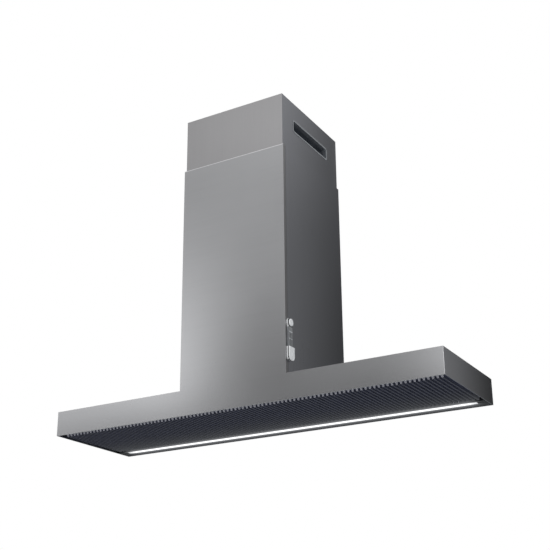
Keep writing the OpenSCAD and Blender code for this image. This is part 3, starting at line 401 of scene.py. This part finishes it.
def vent_plastic(name):
    """Grey sleeve whose outer lip is painted light grey, as a painted highlight."""
    made, tree, shader = material(name)
    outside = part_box("vent_frame_right")[1].x
    # Painted highlight round the sleeve's outer lip
    painted_lip_highlight = tree.step(tree.absolute(tree.axis("X")), outside - 0.0011, outside - 0.0008)
    grain = tree.noise(800.0)
    plug_in(tree, shader, tree.mix(painted_lip_highlight, (0.135, 0.145, 0.160), (0.30, 0.31, 0.32)),
            tree.between(grain, 0.3, 0.42),
            tree.bump(grain, 0.2, 0.0002, tree.round_edges(0.0004)))
    return made


def painted_groove_shade(tree):
    """1 on the painted shade line between the foot and the cap of the button and of the slider,
    where the groove between them lies.
    """
    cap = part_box("lamp_button")[1].x
    out = tree.axis("X")
    return tree.times(tree.step(out, cap - 0.0050, cap - 0.0046),
                      tree.step(out, cap - 0.0026, cap - 0.0030))


def grooved_silver(name):
    """Satin silver with a painted shade line round its wall, at the groove between foot and cap.
    """
    made, tree, shader = material(name)
    grain = tree.noise(1500.0)
    plug_in(tree, shader, tree.mix(painted_groove_shade(tree), (0.93, 0.93, 0.93), (0.03, 0.03, 0.032)),
            tree.between(grain, 0.22, 0.32),
            tree.bump(grain, 0.05, 0.0001, tree.round_edges(0.0006)))
    return made


def control_plastic(name):
    """Grey scale plate with two pale marks, a painted shade line along its sides, and a silver
    seat for the button.
    """
    made, tree, shader = material(name)
    bar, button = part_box("control_bar")[0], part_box("lamp_button")[0]
    height = tree.axis("Z")
    seat = tree.step(height, button.z - 0.0022, button.z - 0.0018)
    face = tree.step(tree.axis("X"), bar.x + 0.0046, bar.x + 0.0052)
    marks = [tree.times(tree.step(height, z - 0.0009, z),
                        tree.step(height, z + 0.0018, z + 0.0009))
             for z in (bar.z + 0.0793, bar.z + 0.0600)]
    scale = tree.mix(tree.math("MAXIMUM", *marks), (0.27, 0.275, 0.28), (0.72, 0.73, 0.74))
    # Painted shade line at the groove between foot and cap
    line = painted_groove_shade(tree)
    silver = tree.mix(line, (0.90, 0.90, 0.90), (0.03, 0.03, 0.032))
    side = tree.mix(line, (0.30, 0.31, 0.32), (0.02, 0.02, 0.022))
    grain = tree.noise(1500.0)
    plug_in(tree, shader, tree.mix(seat, tree.mix(face, side, scale), silver),
            tree.between(grain, 0.3, 0.4),
            tree.bump(grain, 0.1, 0.0001, tree.round_edges(0.0004)))
    return made


def circuit_board(name, base, track):
    """Board with a grid of tracks and pads under its lacquer."""
    made, tree, shader = material(name, roughness=0.35, Coat_Weight=0.4)
    tracks = tree.add("TexBrick", ("Vector", tree.place()), ("Scale", 160.0),
                      ("Mortar Size", 0.06), ("Color1", (*base, 1)), ("Color2", (*base, 1)),
                      ("Mortar", (*track, 1))).outputs["Color"]
    tree.plug(tracks, shader.inputs["Base Color"])
    tree.plug(tree.bump(tree.noise(400.0), 0.15, 0.0002), shader.inputs["Normal"])
    return made


def floor_paint(name):
    """Plain pale paint, clear from below."""
    made, tree, shader = material(name, roughness=0.8)
    clouds = tree.between(tree.noise(3.0), 0.42, 0.58)
    tree.plug(tree.tint((0.8, 0.8, 0.8), clouds), shader.inputs["Base Color"])
    below = tree.add("NewGeometry").outputs["Backfacing"]
    clear = tree.add("BsdfTransparent").outputs[0]
    seen = tree.add("MixShader", (0, below), (1, shader.outputs[0]), (2, clear)).outputs[0]
    tree.plug(seen, made.node_tree.nodes["Material Output"].inputs["Surface"])
    return made


# Pieces in mesh code

def piece(name, mesh, body, finish, smooth=True):
    made = bpy.data.objects.new(name, mesh)
    scene.collection.objects.link(made)
    made.data.materials.append(finish)
    if smooth:
        for face in made.data.polygons:
            face.use_smooth = True
    if body:
        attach(made, body)
    return made


def finished(mesh_name, form):
    mesh = bpy.data.meshes.new(mesh_name)
    bmesh.ops.recalc_face_normals(form, faces=form.faces)
    form.to_mesh(mesh)
    form.free()
    return mesh


def spun(form, profile, centre, axis, steps):
    """Adds a turned shape to form: profile is a list of (radius, place along axis)."""
    axis = Vector(axis).normalized()
    side = axis.orthogonal().normalized()
    other = axis.cross(side)
    turns = [2 * math.pi * i / steps for i in range(steps)]
    rings = []
    for radius, along in profile:
        base = Vector(centre) + axis * along
        if radius < 1e-7:
            rings.append([form.verts.new(base)])
            continue
        rings.append([form.verts.new(base + side * radius * math.cos(t)
                                     + other * radius * math.sin(t)) for t in turns])
    for a, b in zip(rings, rings[1:]):
        for i in range(steps):
            j = (i + 1) % steps
            corners = [a[i % len(a)], a[j % len(a)], b[j % len(b)], b[i % len(b)]]
            unique = list(dict.fromkeys(corners))
            if len(unique) > 2:
                form.faces.new(unique)


PAN_HEIGHT = 0.0022
PAN_STEPS = 20


def screw(form, place, out, radius):
    """Pan head with a cross recess, on the face at place whose normal is out."""
    place, out = Vector(place), Vector(out).normalized()
    dome = [(radius * math.cos(t), PAN_HEIGHT * (0.35 + 0.65 * math.sin(t))) for t in
            (math.radians(a) for a in (0, 25, 50, 70))]
    spun(form, [(radius, 0.0)] + dome + [(0.0, PAN_HEIGHT)], place, out, PAN_STEPS)
    side = out.orthogonal().normalized()
    other = out.cross(side)
    arm, width, top = radius * 0.62, radius * 0.13, PAN_HEIGHT * 1.02
    square = ((-1, -1), (1, -1), (1, 1), (-1, 1))
    for a, b in ((side, other), (other, side)):
        corners = [place + out * top + a * x * arm + b * y * width for x, y in square]
        inner = [place + out * (top - PAN_HEIGHT * 0.3) + a * x * arm * 0.5 + b * y * width * 0.6
                 for x, y in square]
        outer = [form.verts.new(c) for c in corners]
        deep = [form.verts.new(c) for c in inner]
        for i in range(4):
            form.faces.new([outer[i], outer[(i + 1) % 4], deep[(i + 1) % 4], deep[i]])
        form.faces.new(deep)


def screws(name, body, places, radius):
    form = bmesh.new()
    for place, out in places:
        screw(form, place, out, radius)
    return piece(name, finished(name, form), body, bright)


def dress(finish, *names):
    for name in names:
        slots = nodes[name].material_slots
        if not slots:
            nodes[name].data.materials.append(finish)
        for one in slots:
            one.material = finish


# Finishes of the CAD nodes

# Where the front panel's folds get painted shade and its edges a painted highlight
fold = (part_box("lower_chimney_cover")[0].z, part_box("lower_chimney_cover")[1].x - 0.0002,
        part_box("front_panel")[0].y + 0.0006)
# The chimney covers' front face is painted lighter than their sides, as painted light
painted_light_cover_front = (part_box("upper_chimney_cover")[0].y + 0.0008, (0.395, 0.393, 0.395))
zinc = galvanised("galvanised sheet")
bright = turned_metal("bright steel", (0.62, 0.62, 0.63))
mill = cast_metal("mill aluminium", (0.66, 0.67, 0.68), (0.3, 0.45), 800.0, 0.1)
black_plastic = moulded("black plastic", (0.016, 0.016, 0.018))
white_plastic = moulded("white plastic", (0.72, 0.72, 0.70))
duct_foil = foil("duct foil")

dress(brushed_steel("front steel", (0.42, 0.425, 0.43), "x", fold=fold), "front_panel")
dress(brushed_steel("side steel", (0.352, 0.362, 0.384), "z", front=painted_light_cover_front),
      "lower_chimney_cover", "upper_chimney_cover")
dress(brushed_steel("canopy steel", (0.345, 0.354, 0.368), "y"), "canopy_shell")
dress(moulded("tray paint", (0.085, 0.088, 0.095)), "inner_tray")
dress(moulded("panel coating", (0.045, 0.047, 0.053)), "panel_tray")
dress(zinc, "filter_rails", "support_frame", "hinge_brackets", "motor_bracket", "upper_bracket",
      "duct_clamp_lower", "duct_clamp_upper")
dress(galvanised("zinc plated steel", (0.62, 0.63, 0.66), (0.2, 0.35)), "catch_plates")
dress(bright, "flap_rod", "hinge_pins", "motor_shaft", "motor_bearings")
dress(moulded("nylon", (0.78, 0.77, 0.72)), "cover_glides")
dress(moulded("blower plastic", (0.60, 0.61, 0.62)),
      "blower_housing_left", "blower_housing_right")
dress(white_plastic, "inlet_rings", "outlet_collar", "lamp_driver", "run_capacitor")
dress(moulded("grey plastic", (0.42, 0.43, 0.44)), "flap_front", "flap_rear")
dress(cast_metal("cast aluminium", (0.55, 0.56, 0.57)), "motor_case")
dress(laminations("wound stator", (0.60, 0.27, 0.12), (0.16, 0.07, 0.04), 79.6178), "motor_stator")
dress(laminations("rotor sheets", (0.35, 0.35, 0.36), (0.10, 0.10, 0.11), 106.1571), "motor_rotor")
dress(moulded("impeller plastic", (0.20, 0.205, 0.21)),
      "impeller", "impeller_blades", "impeller_rings")
dress(black_plastic, "electronics_box", "electronics_lid", "cable_gland", "control_housing",
      "catch_magnets", "filter_latch_left", "filter_latch_right")
dress(moulded("cap plastic", (0.014, 0.014, 0.016), shine=0.12), "lamp_end_caps")
dress(moulded("deflector plastic", (0.125, 0.140, 0.165)), "air_deflector")
dress(vent_plastic("vent frame plastic"), "vent_frame_left", "vent_frame_right")
dress(circuit_board("control board", (0.01, 0.09, 0.03), (0.05, 0.22, 0.08)), "control_board")
dress(circuit_board("lamp board", (0.75, 0.75, 0.74), (0.55, 0.50, 0.35)), "lamp_board")
dress(lit_strip("lit diffuser", strength=1.12), "lamp_diffuser")
dress(rail_coating("lamp rail coating"), "lamp_rail")
dress(rib_coating("rib coating"), "ribbed_panel")
dress(mill, "filter_frame_left", "filter_frame_right", "filter_mesh_left", "filter_mesh_right")
dress(grooved_silver("control silver"), "lamp_button", "speed_slider")
dress(control_plastic("control grey"), "control_bar")
dress(duct_foil, "flex_duct")


# Flexible duct: a fuller corrugated sleeve in place of the CAD one

DUCT_FOLDS, DUCT_STEPS = 46, 72
# Place in the fold and height of each point of it, as shares
FOLD_PROFILE = ((0.15, 0.25), (0.35, 0.9), (0.5, 1.0), (0.65, 0.9), (0.85, 0.25))
# How far the folds' roots and tips lie inside the CAD duct's outline
FOLD_ROOT, FOLD_TIP = 0.0058, 0.0002
CUFF = 0.002  # plain length beside each clamp
FOIL_THICKNESS = 0.0004


def make_duct():
    low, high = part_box("flex_duct")
    lower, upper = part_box("duct_clamp_lower"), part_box("duct_clamp_upper")
    x, y = (low.x + high.x) / 2, (low.y + high.y) / 2
    inner, outer = (high.x - low.x) / 2 - FOLD_ROOT, (high.x - low.x) / 2 - FOLD_TIP
    start, end = lower[1].z + CUFF, upper[0].z - CUFF
    pitch = (end - start) / DUCT_FOLDS
    profile = [(inner + 0.0004, low.z), (inner + 0.0006, start)]
    for i in range(DUCT_FOLDS):
        base = start + (end - start) * i / DUCT_FOLDS
        for share, bulge in FOLD_PROFILE:
            wobble = 0.0003 * math.sin(i * 2.3 + share * 5)
            radius = inner + 0.0004 + (outer - inner - 0.0008) * bulge + wobble
            profile.append((radius, base + pitch * share))
    profile += [(inner + 0.0006, end), (inner + 0.0004, high.z)]
    form = bmesh.new()
    spun(form, profile, (x, y, 0), (0, 0, 1), DUCT_STEPS)
    duct = piece("duct_sleeve", finished("duct_sleeve", form), None, duct_foil)
    thick = duct.modifiers.new("wall", "SOLIDIFY")
    thick.thickness = FOIL_THICKNESS
    thick.offset = 1
    bpy.context.view_layer.objects.active = duct
    bpy.ops.object.modifier_apply(modifier="wall")
    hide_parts("flex_duct")
    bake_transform(duct)


make_duct()


# Small parts

FAN_AXIS = (-0.122, -0.035)  # Y and Z
BRACKET_ARMS = (30, 150, 270)  # degrees
ARM_END, MOTOR_RIM = 0.0935, 0.036  # radii of the screws round the fan's axis
BOX_EDGE = 0.008
CHEEK_SCREWS_X, CHEEK_SCREWS_Y = 0.1045, (-0.235, -0.15, -0.045)
COLLAR_SCREWS_X, COLLAR_EDGE = 0.088, 0.007
TAB_SCREWS_Y, TAB_EDGE = (-0.042, -0.055), 0.01
SHEET = 0.0015
FLANGE = 0.003


def make_screws():
    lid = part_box("electronics_lid")
    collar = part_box("outlet_collar")
    foot_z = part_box("support_frame")[0].z + SHEET
    up = (0, 0, 1)
    places = [((x, y, lid[1].z), up) for x in (lid[0].x + BOX_EDGE, lid[1].x - BOX_EDGE)
              for y in (lid[0].y + BOX_EDGE, lid[1].y - BOX_EDGE)]
    places += [((s * CHEEK_SCREWS_X, y, foot_z), up) for s in (-1, 1) for y in CHEEK_SCREWS_Y]
    places += [((s * COLLAR_SCREWS_X, y, collar[0].z + FLANGE), up) for s in (-1, 1)
               for y in (collar[0].y + COLLAR_EDGE, collar[1].y - COLLAR_EDGE)]
    screws("case_screws", "hood_body", places, 0.0032)
    arm_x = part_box("motor_bracket")[1].x
    places = [((arm_x, FAN_AXIS[0] + r * math.cos(t), FAN_AXIS[1] + r * math.sin(t)), (1, 0, 0))
              for r in (ARM_END, MOTOR_RIM) for t in (math.radians(a) for a in BRACKET_ARMS)]
    screws("motor_screws", "hood_body", places, 0.0036)
    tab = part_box("upper_bracket")
    places = [((s * (tab[1].x - SHEET), y, z), (-s, 0, 0)) for s in (-1, 1)
              for y in TAB_SCREWS_Y for z in (tab[0].z + TAB_EDGE, tab[1].z - TAB_EDGE)]
    screws("bracket_screws", "upper_cover", places, 0.003)


make_screws()


# World, floor and lamps

# What metal sees of the studio on the wall's side: place from level to straight up, and tone
STUDIO_RISE = ((0.0, 0.16), (0.22, 0.07), (0.42, 0.17), (0.6, 0.50), (0.8, 0.80), (1.0, 0.85))


def make_world():
    """White to the camera, a grey studio to metal, and a plain level for everything else."""
    world = bpy.data.worlds.new("studio")
    scene.world = world
    world.use_nodes = True
    tree = Tree(world.node_tree)
    world.node_tree.nodes.clear()
    out = tree.add("OutputWorld")
    toward = tree.add("SeparateXYZ", (0, tree.add("TexCoord").outputs["Generated"])).outputs
    behind = tree.step(toward["Y"], -0.3, 0.5)
    tone = tree.mix(behind, (0.72, 0.73, 0.74), tree.ramp(toward["Z"], *STUDIO_RISE))
    soft = tree.add("Background", (0, tone), (1, 1.0)).outputs[0]
    plain = tree.add("Background", (0, (0.92, 0.96, 1.0, 1)), (1, 0.5)).outputs[0]
    white = tree.add("Background", (0, (1, 1, 1, 1)), (1, 1.0)).outputs[0]
    path = tree.add("LightPath").outputs
    lit = tree.add("MixShader", (0, path["Is Glossy Ray"]), (1, plain), (2, soft)).outputs[0]
    seen = tree.math("MAXIMUM", path["Is Camera Ray"], path["Is Transmission Ray"])
    tree.plug(tree.add("MixShader", (0, seen), (1, lit), (2, white)).outputs[0], out.inputs[0])


def card(name, x, y, z, shade):
    """Studio card that only reflections see. x and z are its (lowest, highest), and shade gives
    its tone from a Tree."""
    form = bmesh.new()
    corners = ((x[0], z[0]), (x[1], z[0]), (x[1], z[1]), (x[0], z[1]))
    form.faces.new([form.verts.new((a, y, b)) for a, b in corners])
    paint = bpy.data.materials.new(name + " paint")
    paint.use_nodes = True
    tree = Tree(paint.node_tree)
    paint.node_tree.nodes.clear()
    glow = tree.add("Emission", (0, (0.99, 0.985, 1.0, 1)), (1, shade(tree))).outputs[0]
    tree.plug(glow, tree.add("OutputMaterial").inputs[0])
    made = piece(name, finished(name, form), None, paint, smooth=False)
    for kind in ("camera", "diffuse", "transmission", "shadow", "volume_scatter"):
        setattr(made, "visible_" + kind, False)


# Soft lights and dark flags on the front card:
# middle X and Z, half width, half height, strength, share that is level
CARD_TONE = 0.671
CARD_SPOTS = (
    (-0.32, -0.18, 0.82, 0.66, -0.59, 0.55), (-0.70, 0.33, 0.40, 0.46, -0.83, 0.00),
    (-1.15, 0.33, 1.44, 0.67, 1.21, 0.01), (0.38, 0.20, 0.40, 0.15, 1.55, 0.52),
    (-0.24, 1.35, 0.91, 0.28, 0.34, 0.52), (-0.55, 0.48, 0.34, 0.46, -0.70, 0.07),
    (-1.35, 0.02, 0.53, 0.20, -1.20, 0.59), (-0.82, 0.14, 0.30, 0.34, -0.60, 0.00),
    (0.01, 0.22, 0.18, 0.23, -0.14, 0.04), (-1.02, 0.25, 0.20, 0.14, 0.93, 0.35))


def front_card(tree):
    tone = CARD_TONE
    for x, z, wide, high, strength, core in CARD_SPOTS:
        across = tree.math("DIVIDE", tree.minus(tree.axis("X"), x), wide)
        along = tree.math("DIVIDE", tree.minus(tree.axis("Z"), z), high)
        away = tree.math("SQRT", tree.plus(tree.times(across, across), tree.times(along, along)))
        tone = tree.plus(tone, tree.times(tree.step(away, 1.0, core), strength))
    return tone


WALL_Y, WALL_END = 0.02, 1.8
CHIMNEY_SIDE, CANOPY_SIDE = 0.172, 0.605
CANOPY_TOP = -0.14


def wall_card(tree):
    """The wall beside the chimney, and beyond the canopy: darker near them and low down."""
    high = tree.axis("Z")
    beyond = tree.step(tree.axis("X"), 0.590, 0.600)
    edge = tree.between(beyond, CHIMNEY_SIDE, CANOPY_SIDE)
    away = tree.step(tree.minus(tree.axis("X"), edge), -0.03, 0.30)
    near = tree.times(tree.between(tree.step(high, -0.15, 0.9), 0.076, 0.18),
                      tree.between(beyond, 1.0, 0.55))
    far = tree.times(tree.between(tree.step(high, 0.3, 1.0), 0.30, 0.61),
                     tree.between(beyond, 1.0, 1.85))
    return tree.plus(near, tree.times(away, tree.minus(far, near)))


def make_cards():
    card("front_card", (-3.2, 2.4), -1.5, (-1.2, 3.0), front_card)
    card("wall_card", (0.175, WALL_END), WALL_Y, (CANOPY_TOP, 1.8), wall_card)
    card("low_wall_card", (CANOPY_SIDE, WALL_END), WALL_Y, (-0.5, CANOPY_TOP), wall_card)


FLOOR_Z = -1.75
FLOOR_REACH = 9


def make_floor():
    form = bmesh.new()
    bmesh.ops.create_grid(form, x_segments=8, y_segments=8, size=FLOOR_REACH)
    for vert in form.verts:
        vert.co.z = FLOOR_Z
    mesh = finished("floor", form)
    if mesh.polygons[0].normal.z < 0:
        mesh.flip_normals()
    piece("floor", mesh, None, floor_paint("floor paint"))


def lamp(name, place, target, size, power, glossy):
    """Soft white lamp. Reflections show it where glossy is true."""
    data = bpy.data.lights.new(name, "AREA")
    data.shape = "RECTANGLE"
    data.size, data.size_y = size
    data.energy = power
    made = bpy.data.objects.new(name, data)
    made.location = place
    made.rotation_euler = (Vector(target) - Vector(place)).to_track_quat("-Z", "Y").to_euler()
    made.visible_camera = False
    made.visible_glossy = glossy
    scene.collection.objects.link(made)


make_world()
make_floor()
make_cards()
lamp("key", (-2.6, -2.6, 2.4), (0, -0.2, 0.1), (2.0, 2.0), 60, glossy=False)
lamp("fill", (2.6, -2.4, 1.2), (0, -0.2, 0.1), (1.6, 1.6), 30, glossy=False)
lamp("low", (0.4, -2.2, -1.3), (0, -0.3, -0.25), (2.2, 0.6), 7, glossy=True)
